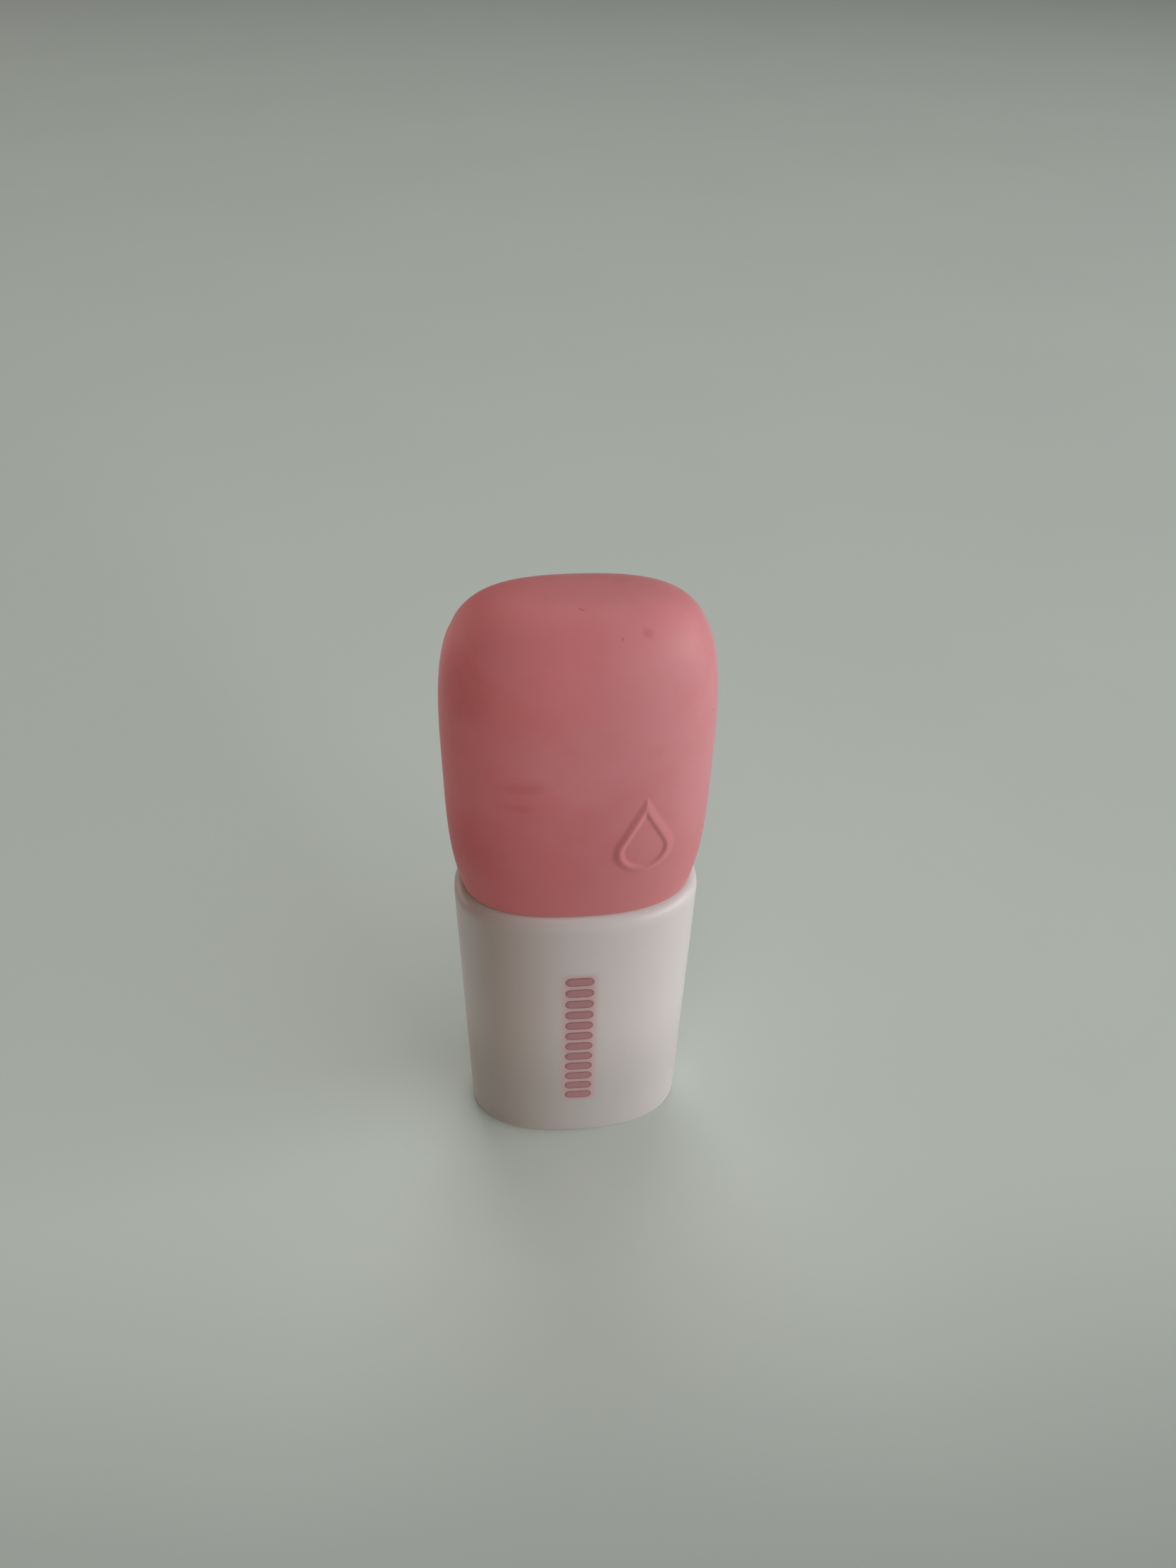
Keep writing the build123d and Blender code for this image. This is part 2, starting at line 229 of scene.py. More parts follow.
desk = {
    "half": 1.4,  # metres
    "colour": paint(229, 235, 226),
    "dark": paint(223, 230, 221),
    "cloud": {"size": 60, "detail": 3},
    "near": paint(172, 178, 171),  # towards the viewer, where less daylight reaches it
    "nearReach": (-85, -12),  # along Y, from where it is all near to where none of it is
    "roughness": 0.5,
    "grain": {"size": 0.6, "depth": 0.01},
}


def placeLight(name, turn, rise, size, power, colour):
    data = bpy.data.lights.new(name, "AREA")
    data.shape = "RECTANGLE"
    data.size, data.size_y = size
    data.energy = power
    data.color = colour
    turn, rise = math.radians(turn), math.radians(rise)
    towards = Vector((math.cos(turn) * math.cos(rise), math.sin(turn) * math.cos(rise), math.sin(rise)))
    lamp = bpy.data.objects.new(name, data)
    lamp.location = towards * room["lightDistance"]
    lamp.rotation_mode = "QUATERNION"
    lamp.rotation_quaternion = (-towards).to_track_quat("-Z", "Y")
    bpy.context.scene.collection.objects.link(lamp)


def lightRoom():
    world = bpy.data.worlds.new("room")
    bpy.context.scene.world = world
    world.use_nodes = True
    background = world.node_tree.nodes["Background"]
    background.inputs["Color"].default_value = room["colour"]
    seen = node(world.node_tree, "LightPath").outputs["Is Camera Ray"]
    strength = ramp(world.node_tree, seen, 0, 1, room["strength"], room["backdrop"])
    world.node_tree.links.new(strength, background.inputs["Strength"])
    bpy.context.scene.view_settings.view_transform = "Standard"


def makeDesk():
    material, tree, shader, place = newFinish("deskTop", {"Roughness": desk["roughness"]})
    colour = blend(tree, noise(tree, place, **desk["cloud"]), desk["dark"], desk["colour"])
    along = node(tree, "SeparateXYZ", {"Vector": place}).outputs["Y"]
    colour = blend(tree, fade(tree, along, desk["nearReach"], 1, 0), colour, desk["near"])
    setColour(tree, shader, colour)
    grain(tree, shader, place, **desk["grain"])
    half = desk["half"]
    corners = [(-half, -half, 0), (half, -half, 0), (half, half, 0), (-half, half, 0)]
    mesh = bpy.data.meshes.new("desk")
    mesh.from_pydata(corners, [], [(0, 1, 2, 3)])
    mesh.materials.append(material)
    floor = bpy.data.objects.new("desk", mesh)
    bpy.context.scene.collection.objects.link(floor)


for name, settings in lights.items():
    placeLight(name, **settings)
lightRoom()
makeDesk()
print("lights and desk placed")


# plan outline that the bottle and the cap share

outline = {"power": 2.4}  # 2 would be an ellipse, more is squarer


def ovalPoint(turn, halfWidth, halfDepth):
    across, along = math.cos(turn), math.sin(turn)
    x = math.copysign(abs(across) ** (2 / outline["power"]), across) * halfWidth
    y = math.copysign(abs(along) ** (2 / outline["power"]), along) * halfDepth
    return x, y


def ovalRing(turns, halfWidth, halfDepth, height):
    return [(*ovalPoint(turn, halfWidth, halfDepth), height) for turn in turns]


def roundRing(turns, radius, height):
    return [(math.cos(turn) * radius, math.sin(turn) * radius, height) for turn in turns]


def evenTurns(count):
    return [2 * math.pi * step / count - math.pi for step in range(count)]


# cap shell: soft-touch coating over a moulded shell, with a plain drop standing out

cap = {
    "rim": 39.93,
    "top": 75.5,
    "bellyHeight": 53.5,
    "rimHalf": (12.35, 7.09),  # half width and half depth
    "bellyHalf": (13.56, 7.78),
    "flarePower": 3.0,
    "domePowers": (4.3, 3.2),  # across and along; 2 would be an ellipse, more is squarer
    "wall": 1.1,
    "rimRadius": 0.16,
    "rimBand": 0.6,  # from the rim to the first level above its rounding
    "columns": 150,
    "rimSteps": 7,
    "lowLevels": (45.4, 9),  # last height and count of the levels below the drop
    "highLevels": (58.0, 70.6, 30),  # first height, last height and count of those above it
    "innerLevels": (69.5, 30),  # first height and count, down to the rim
    "crownSizes": (0.85, 0.03, 34),  # levels of the crown, as shares of the belly's width
    "innerCrownSizes": (0.04, 0.82, 18),
    "ribThickness": 1.0,
    "ribStart": 3.98,  # from the middle, along X
    "ribBottom": 54.74,
    "ribInset": 0.6,  # from the shell's outside, as a share of the wall
    "ribLevels": (70.5, 14),
    "ribSizes": (0.84, 0.3, 12),
}
drop = {
    "x": 6.2,
    "height": 49.5,  # of the round part's middle
    "radius": 3.3,
    "point": 7.0,  # from that middle up to the tip
    "tipRadius": 0.35,
    "line": 1.4,
    "rise": 0.19,
    "slopes": (0.6, 0.4),  # outer and inner, as shares of the line
    "turns": (-86, -40),  # degrees between which the columns are finer
    "columns": 150,
    "levels": (45.5, 57.6, 142),  # first height, last height and count
}


def dropDistance(x, z):
    # distance from the outline of the drop, less than 0 inside
    x = abs(x - drop["x"])
    z = z - drop["height"]
    reach = drop["point"] - drop["tipRadius"]
    sine = (drop["radius"] - drop["tipRadius"]) / reach
    cosine = math.sqrt(1 - sine * sine)
    along = cosine * z - sine * x
    if along < 0:
        return math.hypot(x, z) - drop["radius"]
    if along > cosine * reach:
        return math.hypot(x, z - reach) - drop["tipRadius"]
    return cosine * x + sine * z - drop["radius"]


def swell(x, y, z):
    # how far the puffed line along the drop's outline stands out of the cap
    share = -dropDistance(x, z) / drop["line"]
    if y > 0 or not 0 < share < 1:
        return 0.0
    outer, inner = drop["slopes"]
    return drop["rise"] * smooth(share, 0, outer) * smooth(1 - share, 0, inner)


def domeHalf(rise, inset):
    # half width and half depth at a share of the dome's height
    pairs = zip(cap["bellyHalf"], cap["domePowers"])
    return [(1 - rise**power) ** (1 / power) * (half - inset) for half, power in pairs]


def capHalf(height, inset=0.0):
    # half width and half depth at a height, up to where the dome closes in
    if height <= cap["bellyHeight"]:
        flare = 1 - ((cap["bellyHeight"] - height) / (cap["bellyHeight"] - cap["rim"])) ** cap["flarePower"]
        return [rim + flare * (belly - rim) - inset for rim, belly in zip(cap["rimHalf"], cap["bellyHalf"])]
    return domeHalf((height - cap["bellyHeight"]) / (cap["top"] - cap["bellyHeight"] - inset), inset)


def crownRing(turns, size, inset=0.0):
    # one level of the top of the dome, size being its share of the belly's width
    power = cap["domePowers"][0]
    rise = (1 - size**power) ** (1 / power)
    height = cap["bellyHeight"] + rise * (cap["top"] - cap["bellyHeight"] - inset)
    return ovalRing(turns, *domeHalf(rise, inset), height)


def shellRings():
    # down the inside from the crown, round the rim and up the outside, finer where the drop stands out
    first, last = (math.radians(turn) for turn in drop["turns"])
    turns = [turn for turn in evenTurns(cap["columns"]) if not first <= turn <= last]
    turns = sorted(turns + spread(first, last, drop["columns"]))
    wall, radius = cap["wall"], cap["rimRadius"]
    rings = [crownRing(turns, size, wall) for size in spread(*cap["innerCrownSizes"])]
    start, count = cap["innerLevels"]
    rings += [ovalRing(turns, *capHalf(height, wall), height) for height in spread(start, cap["rim"], count)]
    for angle in quarterTurn(cap["rimSteps"]):
        height = cap["rim"] + radius * (1 - math.cos(angle))
        inset = radius * (1 - math.sin(angle))
        rings.append(ovalRing(turns, *capHalf(height, inset), height))
    levels = spread(cap["rim"] + cap["rimBand"], *cap["lowLevels"])
    for height in levels + spread(*drop["levels"]) + spread(*cap["highLevels"]):
        ring = ovalRing(turns, *capHalf(height), height)
        rings.append([(x, y - swell(x, y, z), z) for x, y, z in ring])
    return rings + [crownRing(turns, size) for size in spread(*cap["crownSizes"])]


def ribCorners():
    # one rib seen from the front, from the inner cap's roof up into the shell
    inset = cap["wall"] * cap["ribInset"]
    corners = [(cap["ribStart"], cap["ribBottom"])]
    for height in spread(cap["ribBottom"], *cap["ribLevels"]):
        corners.append((capHalf(height, inset)[0], height))
    for size in spread(*cap["ribSizes"]):
        ring = crownRing([0.0], size, inset)[0]
        corners.append((ring[0], ring[2]))
    corners.append((cap["ribStart"], corners[-1][1]))
    return corners


def addRib(points, faces, side):
    # the rib at the left (-1) or at the right (1), added to the shell's points and faces
    corners, half = ribCorners(), cap["ribThickness"] / 2
    count, start = len(corners), len(points)
    points += [(side * x, y, z) for y in (-half, half) for x, z in corners]
    front = list(range(start, start + count))
    back = [corner + count for corner in reversed(front)]
    walls = []
    for index in range(count):
        after = (index + 1) % count
        walls.append([start + after, start + index, start + count + index, start + count + after])
    faces += [tuple(face[::side]) for face in [front, back] + walls]


def makeCapShell(finish):
    points, faces = loftRings(shellRings())
    for side in (-1, 1):
        addRib(points, faces, side)
    addPiece("capShell", points, faces, finish, "cap", ["cap_shell"])


coating = {
    # painted light and shade: the left deeper red, the right hazier pink, the belly lighter higher up and
    # the crown a little dimmer
    "low": (paint(208, 110, 111), paint(203, 126, 130)),  # at the left and at the right
    "high": (paint(227, 130, 131), paint(213, 141, 147)),
    "crown": (paint(215, 124, 124), paint(213, 134, 138)),
    "across": (-11, 11),  # along X, from the left colours to the right ones
    "upwards": (46, 64),  # along Z, from low to high
    "crownHeight": (70.5, 74.5),  # along Z, from high to crown
    "drift": {"size": 9, "levels": (0.2, 0.8), "values": (-4 * mm, 4 * mm)},  # moves across and upwards
    "cloud": paint(205, 108, 110),
    "cloudy": {"size": 7, "detail": 4, "rough": 0.6, "levels": (0.45, 0.75), "values": (0, 0.3)},
    "worn": paint(228, 148, 150),
    "scuffed": {"size": 0.5, "detail": 4, "rough": 0.7, "levels": (0.6, 0.85), "values": (0, 0.3)},
    "dark": paint(172, 74, 72),
    # painted glow: a lighter, redder tone for the cap's left edge
    "paintedGlow": paint(206, 84, 82),
    "marksAndGlow": [  # dark scuffs and smudges, and painted glow at the left edge: colour, middle and half sizes, turn in degrees and strength of each
        ("dark", (-0.1, -3.0, 74.9), (0.55, 0.2, 3.0), (0, 0, -25), 0.6),
        ("dark", (3.4, -5.1, 73.9), (0.15, 0.15, 3.0), (0, 0, 0), 0.7),
        ("dark", (5.7, -4.6, 73.9), (0.8, 0.5, 3.0), (0, 0, 0), 0.3),
        ("dark", (-5.6, -7.3, 58.3), (3.4, 3.0, 1.1), (0, -4, 0), 0.22),
        ("dark", (-6.2, -7.3, 55.8), (2.6, 3.0, 0.7), (0, 3, 0), 0.15),
        # painted glow on the left edge, lighter and redder
        ("paintedGlow", (-10.8, -4.3, 68.5), (3.4, 5.0, 5.5), (0, 0, 0), 0.25),
        ("paintedGlow", (-10.6, -4.6, 50.0), (3.4, 5.0, 5.5), (0, 0, 0), 0.3),
        ("dark", (12.6, -3.5, 64.0), (2.0, 0.2, 0.2), (0, 0, 0), 0.6),
    ],
    "patchEdge": {"size": 1.3, "detail": 3, "levels": (0.2, 0.8), "values": (-0.2, 0.2)},
    "patchFade": (0.1, 1.0),  # as shares of the half sizes
    "roughness": {"size": 3, "detail": 4, "rough": 0.6, "levels": (0.3, 0.7), "values": (0.52, 0.66)},
    "grain": {"size": 0.11, "detail": 3, "rough": 0.6, "depth": 0.006},
    "shader": {
        "Specular IOR Level": 0.4,
        "Sheen Weight": 0.2,
        "Sheen Roughness": 0.4,
        "Sheen Tint": (0.9, 0.95, 1.0, 1.0),
        "Subsurface Weight": 0.25,
        "Subsurface Radius": (1.5, 0.5, 0.4),  # reach of red, green and blue light inside
        "Subsurface Scale": mm,
        "Emission Color": paint(255, 70, 60),  # painted glow in place of daylight that comes through the thin shell
        "Emission Strength": 0.04,
    },
}


def softPatch(tree, place, middle, half, turn):
    # 1 at the middle of a soft uneven patch, 0 outside it
    inputs = {
        "Vector": place,
        "Location": [value * mm for value in middle],
        "Rotation": [math.radians(value) for value in turn],
        "Scale": [value * mm for value in half],
    }
    inside = node(tree, "Mapping", inputs, vector_type="TEXTURE").outputs["Vector"]
    away = node(tree, "VectorMath", {0: inside}, operation="LENGTH").outputs["Value"]
    away = calc(tree, "ADD", away, blotches(tree, place, **coating["patchEdge"]))
    return ramp(tree, away, *coating["patchFade"], 1, 0)


def capFinish():
    material, tree, shader, place = newFinish("softTouchCoral", coating["shader"])
    parts = node(tree, "SeparateXYZ", {"Vector": place}).outputs
    # painted light and shade: the colour changes from left to right and from low to high
    drift = blotches(tree, place, **coating["drift"])
    across = fade(tree, calc(tree, "ADD", parts["X"], drift), coating["across"])
    upwards = fade(tree, calc(tree, "ADD", parts["Z"], drift), coating["upwards"])
    low, high, crown = (blend(tree, across, *coating[level]) for level in ("low", "high", "crown"))
    colour = blend(tree, upwards, low, high)
    colour = blend(tree, fade(tree, parts["Z"], coating["crownHeight"]), colour, crown)
    colour = blend(tree, blotches(tree, place, **coating["cloudy"]), colour, coating["cloud"])
    colour = blend(tree, blotches(tree, place, **coating["scuffed"]), colour, coating["worn"])
    # dark scuffs and smudges, then painted glow at the left edge
    for tone, middle, half, turn, strength in coating["marksAndGlow"]:
        patch = calc(tree, "MULTIPLY", softPatch(tree, place, middle, half, turn), strength)
        colour = blend(tree, patch, colour, coating[tone])
    setColour(tree, shader, colour)
    tree.links.new(blotches(tree, place, **coating["roughness"]), shader.inputs["Roughness"])
    grain(tree, shader, place, **coating["grain"])
    return material


makeCapShell(capFinish())


# bottle: thick milky wall round the tint, with its neck and thread

bottle = {
    "baseHalf": (13.1, 7.67),
    "shoulderHalf": (13.4, 7.839),
    "shoulder": 39.85,
    "columns": 256,
    "baseRadius": 1.2,
    "baseSteps": 10,
    "baseBand": 0.4,  # flat ring inside the base's rounding
    "sideLevels": (2.2, 1.0, 30),  # first height, gap below the shoulder's rounding and count
    "shoulderRadius": 1.6,
    "shoulderSteps": 14,
    "shoulderShares": (0.35, 0.7, 1.0),  # of the way from its rounding to the neck
    "walls": (3.0, 1.7),  # at the sides, and front and back
    "floor": 3.2,
    "roof": 3.2,  # from the cavity up to the shoulder
    "cavityRadius": 2.0,
    "cavitySteps": 8,
    "cavityLevels": (32, 7, 8),
    "labelMargin": 3.6,
    "labelDepth": 0.35,
    "labelShares": (0.3, 0.65, 1.0),
    "labelEdge": 0.06,
    "neckRadius": 4.55,
    "neckRoot": 0.5,
    "neckLength": 11.8,
    "neckRim": 0.25,
    "neckSteps": 5,
    "plainNeck": (8.5, 6),  # first height above the shoulder and count of the levels over the thread
    "boreRadius": 3.65,
    "boreEdge": 0.05,
    "boreLevel": 42.0,
    "snapDrop": 3.5,  # from the neck's rim down to the groove for the wiper's bead
    "snapDepth": 0.2,
    "snapHalf": 0.6,
}
thread = {
    "start": 2.6,  # above the shoulder
    "pitch": 3.0,
    "turns": 1.5,
    "height": 0.45,
    "rootHalf": 0.75,
    "crestHalf": 0.35,
    "runOut": 0.03,  # turns over which each end fades
    "levels": (0.52, 8.1, 76),  # first and last above the shoulder, and count
    "beadHalf": 0.5,  # stop bead at the left
    "beadHeight": 0.9,
    "beadSoft": 0.12,
}


def bottleHalf(height, inset=0.0):
    share = height / bottle["shoulder"]
    pairs = zip(bottle["baseHalf"], bottle["shoulderHalf"])
    return [low + share * (high - low) - inset for low, high in pairs]


def cavityHalf(height, inset=0.0):
    return [half - wall - inset for half, wall in zip(bottleHalf(height), bottle["walls"])]


def neckRing(turns, height):
    # the neck's outside with the ridge of the thread and the stop bead on it
    ring = []
    for turn in turns:
        reach = 0.0
        for whole in (0, 1):
            along = turn / (2 * math.pi) % 1 + whole
            middle = bottle["shoulder"] + thread["start"] + along * thread["pitch"]
            near = smooth(along, 0, thread["runOut"])
            far = smooth(thread["turns"] - along, 0, thread["runOut"])
            side = (thread["rootHalf"] - abs(height - middle)) / (thread["rootHalf"] - thread["crestHalf"])
            reach = max(reach, thread["height"] * min(1.0, max(0.0, side)) * near * far)
        offset = abs(math.sin(turn)) * (bottle["neckRadius"] + thread["height"])
        if math.cos(turn) < 0 and height <= bottle["shoulder"] + thread["beadHeight"]:
            beside = smooth(offset, thread["beadHalf"] - thread["beadSoft"], thread["beadHalf"])
            reach = max(reach, thread["height"] * (1 - beside))
        radius = bottle["neckRadius"] + reach
        ring.append((math.cos(turn) * radius, math.sin(turn) * radius, height))
    return ring


def outsideRings(turns):
    # from the label's recess round the foot, up the sides and in to the root of the neck
    foot, roll, shoulder = bottle["baseRadius"], bottle["shoulderRadius"], bottle["shoulder"]
    recess, edge = bottleHalf(0, bottle["labelMargin"]), bottle["labelEdge"]
    rings = []
    for share in bottle["labelShares"]:
        rings.append(ovalRing(turns, *(half * share for half in recess), bottle["labelDepth"]))
    for out, height in ((edge / 2, edge / 2), (edge, 0.0)):
        rings.append(ovalRing(turns, *(half + out for half in recess), height))
    rings.append(ovalRing(turns, *bottleHalf(0, foot + bottle["baseBand"]), 0.0))
    for angle in quarterTurn(bottle["baseSteps"]):
        height = foot * (1 - math.cos(angle))
        rings.append(ovalRing(turns, *bottleHalf(height, foot * (1 - math.sin(angle))), height))
    top = shoulder - roll
    start, gap, count = bottle["sideLevels"]
    rings += [ovalRing(turns, *bottleHalf(height), height) for height in spread(start, top - gap, count)]
    for angle in quarterTurn(bottle["shoulderSteps"]):
        height = top + roll * math.sin(angle)
        rings.append(ovalRing(turns, *bottleHalf(height, roll * (1 - math.cos(angle))), height))
    outer = ovalRing(turns, *bottleHalf(shoulder, roll), shoulder)
    inner = roundRing(turns, bottle["neckRadius"] + bottle["neckRoot"], shoulder)
    for share in bottle["shoulderShares"]:
        rings.append([tuple(a + share * (b - a) for a, b in zip(*pair)) for pair in zip(outer, inner)])
    return rings


def neckRings(turns):
    # from the rounded root up over the thread, round the rim and down the bore
    shoulder, neck, bore = bottle["shoulder"], bottle["neckRadius"], bottle["boreRadius"]
    root, rim, edge = bottle["neckRoot"], bottle["neckRim"], bottle["boreEdge"]
    neckTop = shoulder + bottle["neckLength"]
    arc = quarterTurn(bottle["neckSteps"])[1:]
    rings = []
    for angle in arc:
        height = shoulder + root * (1 - math.cos(angle))
        rings.append(roundRing(turns, neck + root - root * math.sin(angle), height))
    low, high, count = thread["levels"]
    rings += [neckRing(turns, height) for height in spread(shoulder + low, shoulder + high, count)]
    low, count = bottle["plainNeck"]
    rings += [roundRing(turns, neck, height) for height in spread(shoulder + low, neckTop - rim, count)]
    for angle in arc:
        height = neckTop - rim * (1 - math.sin(angle))
        rings.append(roundRing(turns, neck - rim * (1 - math.cos(angle)), height))
    rings.append(roundRing(turns, bore + edge, neckTop))
    rings.append(roundRing(turns, bore, neckTop - edge))
    snap, half = neckTop - bottle["snapDrop"], bottle["snapHalf"]
    for height, depth in ((snap + half, 0), (snap, bottle["snapDepth"]), (snap - half, 0)):
        rings.append(roundRing(turns, bore + depth, height))
    return rings + [roundRing(turns, bore, bottle["boreLevel"])]


def cavityRings(turns):
    # from the foot of the bore out over the cavity's ceiling and down to its floor
    ceiling, radius, floor = bottle["shoulder"] - bottle["roof"], bottle["cavityRadius"], bottle["floor"]
    steps = bottle["cavitySteps"]
    rings = [roundRing(turns, bottle["boreRadius"], ceiling)]
    for angle in quarterTurn(steps):
        height = ceiling - radius * (1 - math.cos(angle))
        rings.append(ovalRing(turns, *cavityHalf(height, radius * (1 - math.sin(angle))), height))
    rings += [ovalRing(turns, *cavityHalf(height), height) for height in spread(*bottle["cavityLevels"])]
    for angle in spread(math.pi / 2, 0, steps):
        height = floor + radius * (1 - math.cos(angle))
        rings.append(ovalRing(turns, *cavityHalf(height, radius * (1 - math.sin(angle))), height))
    return rings


def makeBottle(finish):
    turns = evenTurns(bottle["columns"])
    points, faces = loftRings(outsideRings(turns) + neckRings(turns) + cavityRings(turns))
    addPiece("bottleBody", points, faces, finish, "bottle", ["bottle"])


# print: a plain column of short round-ended bars down the front

bars = {
    "count": 12,
    "lowest": 8.6,
    "pitch": 1.95,
    "halfWidth": 1.6,
    "halfHeight": 0.7,
    "thickness": 0.03,
    "columns": 48,
    "profile": [  # each ring's size, and how far it stands out as a share of the thickness
        (0.4, -0.02), (1.0, -0.02), (1.0, 0.55), (0.97, 0.85), (0.9, 1.0), (0.6, 1.0), (0.3, 1.0)
    ],
}


def frontSurface(x, z):
    halfWidth, halfDepth = bottleHalf(z)
    power = outline["power"]
    return -halfDepth * (1 - (abs(x) / halfWidth) ** power) ** (1 / power)


def barRing(middle, size, proud):
    straight = bars["halfWidth"] - bars["halfHeight"]
    ring = []
    for turn in evenTurns(bars["columns"]):
        x = bars["halfHeight"] * size * math.cos(turn) + math.copysign(straight, math.cos(turn))
        z = middle + bars["halfHeight"] * size * math.sin(turn)
        ring.append((x, frontSurface(x, z) - bars["thickness"] * proud, z))
    return ring


def makePrint(finish):
    points, faces = [], []
    for index in range(bars["count"]):
        middle = bars["lowest"] + index * bars["pitch"]
        barPoints, barFaces = loftRings([barRing(middle, size, proud) for size, proud in bars["profile"]])
        faces += [tuple(corner + len(points) for corner in face) for face in barFaces]
        points += barPoints
    addPiece("frontPrint", points, faces, finish, "bottle")


plastic = {
    "colour": paint(221, 213, 210),
    # painted light and shade: each pair below is darker at the left and lighter at the right
    "across": (-12, 4),  # along X, from the left colour of each pair below to the right one
    "tintAndShade": (paint(195, 172, 160), paint(226, 213, 211)),  # where the tint shows through, with painted shade making it darker and browner at the left
    "overTintHeight": (-6, 46),
    "overTintSoft": 8,
    "overTintSides": (9, 13),  # from the middle, along X, where it gets weaker
    "overTintEdge": 0.2,  # what is left of it beyond that
    # painted shade under the cap's rim with a painted pink reflection of the cap, darker at the left and
    # lighter at the right
    "shoulder": (paint(200, 176, 167), paint(228, 217, 214)),
    "shoulderHeight": (37.6, 39.2),
    # painted shade: darker towards the bottom, more so at the left
    "foot": (paint(178, 161, 152), paint(201, 192, 188)),
    "footHeight": (8, 24),
    "footStrength": 0.75,
    "halo": paint(222, 168, 167),  # round the print
    "haloMargin": 1.6,  # above the top bar's middle and below the lowest one's
    "haloSoft": 1,
    "haloSides": (1.2, 2.5),
    "haloDepth": (-6, -4),  # along Y, so that the back has none
    "haloStrength": 0.75,
    "grain": {"size": 2.4, "depth": 0.02},  # ripple left by the mould
    "shader": {
        "Roughness": 0.36,
        "Subsurface Weight": 0.35,
        "Subsurface Scale": 1.6 * mm,
        "Subsurface Radius": (1.0, 0.62, 0.55),
    },
}


def bottleFinish():
    material, tree, shader, place = newFinish("milkyPlastic", plastic["shader"])
    parts = node(tree, "SeparateXYZ", {"Vector": place}).outputs
    side = calc(tree, "ABSOLUTE", parts["X"])
    # painted shade: the tint, shoulder and foot colours are darker at the left
    rightwards = fade(tree, parts["X"], plastic["across"])
    pairs = (plastic[name] for name in ("tintAndShade", "shoulder", "foot"))
    tintAndShade, shoulder, foot = (blend(tree, rightwards, *pair) for pair in pairs)
    behind = between(tree, parts["Z"], *plastic["overTintHeight"], plastic["overTintSoft"])
    middle = fade(tree, side, plastic["overTintSides"], 1, plastic["overTintEdge"])
    colour = blend(tree, calc(tree, "MULTIPLY", behind, middle), plastic["colour"], tintAndShade)
    # painted shade and reflection on the shoulder below the cap
    colour = blend(tree, fade(tree, parts["Z"], plastic["shoulderHeight"]), colour, shoulder)
    # painted shade towards the bottom
    low = fade(tree, parts["Z"], plastic["footHeight"], plastic["footStrength"], 0)
    colour = blend(tree, low, colour, foot)
    first = bars["lowest"] - plastic["haloMargin"]
    last = bars["lowest"] + (bars["count"] - 1) * bars["pitch"] + plastic["haloMargin"]
    halo = between(tree, parts["Z"], first, last, plastic["haloSoft"])
    halo = calc(tree, "MULTIPLY", halo, fade(tree, side, plastic["haloSides"], plastic["haloStrength"], 0))
    halo = calc(tree, "MULTIPLY", halo, fade(tree, parts["Y"], plastic["haloDepth"], 1, 0))
    setColour(tree, shader, blend(tree, halo, colour, plastic["halo"]))
    grain(tree, shader, place, **plastic["grain"])
    return material


ink = {
    "colour": paint(210, 134, 137),
    "edge": paint(190, 110, 113),
    "edgeReach": (0.5, 0.95),  # from the middle of a bar, as shares of its half height
    "patchy": {"size": 0.7, "detail": 3, "levels": (0.3, 0.6), "values": (0.5, 1.0)},
    "grain": {"size": 0.2, "depth": 0.003},
    "shader": {"Roughness": 0.42, "Subsurface Weight": 0.3, "Subsurface Scale": mm},
}


def printFinish():
    # ink a little darker towards the edge of each bar
    material, tree, shader, place = newFinish("pinkInk", ink["shader"])
    parts = node(tree, "SeparateXYZ", {"Vector": place}).outputs
    first, pitch = (bars["lowest"] - bars["pitch"] / 2) * mm, bars["pitch"] * mm
    steps = calc(tree, "DIVIDE", calc(tree, "SUBTRACT", parts["Z"], first), pitch)
    height = calc(tree, "SUBTRACT", calc(tree, "FRACT", steps), 0.5)
    height = calc(tree, "MULTIPLY", height, pitch)
    straight = (bars["halfWidth"] - bars["halfHeight"]) * mm
    beyond = calc(tree, "SUBTRACT", calc(tree, "ABSOLUTE", parts["X"]), straight)
    beyond = calc(tree, "MAXIMUM", beyond, 0.0)
    flat = node(tree, "CombineXYZ", {"X": beyond, "Y": height}).outputs["Vector"]
    away = node(tree, "VectorMath", {0: flat}, operation="LENGTH").outputs["Value"]
    edge = fade(tree, away, [bars["halfHeight"] * share for share in ink["edgeReach"]])
    edge = calc(tree, "MULTIPLY", edge, blotches(tree, place, **ink["patchy"]))
    setColour(tree, shader, blend(tree, edge, ink["colour"], ink["edge"]))
    grain(tree, shader, place, **ink["grain"])
    return material


makeBottle(bottleFinish())
makePrint(printFinish())


# inside pieces that keep their own shape, each with its own finish


def wear(name, material):
    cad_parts[name].material_slots[0].material = material
    print(f"{name}: finished")


tint = {
    "colour": paint(190, 52, 62),
    "deep": paint(160, 32, 44),
    "cloudy": {"size": 4, "detail": 3, "levels": (0.35, 0.65)},
    "grain": {"size": 2.5, "detail": 1, "depth": 0.03},
    "shader": {"Roughness": 0.08, "Coat Weight": 0.5, "Coat Roughness": 0.03},
}


def tintFinish():
    material, tree, shader, place = newFinish("wetTint", tint["shader"])
    cloud = blotches(tree, place, **tint["cloudy"])
    setColour(tree, shader, blend(tree, cloud, tint["deep"], tint["colour"]))
    grain(tree, shader, place, **tint["grain"])
    return material


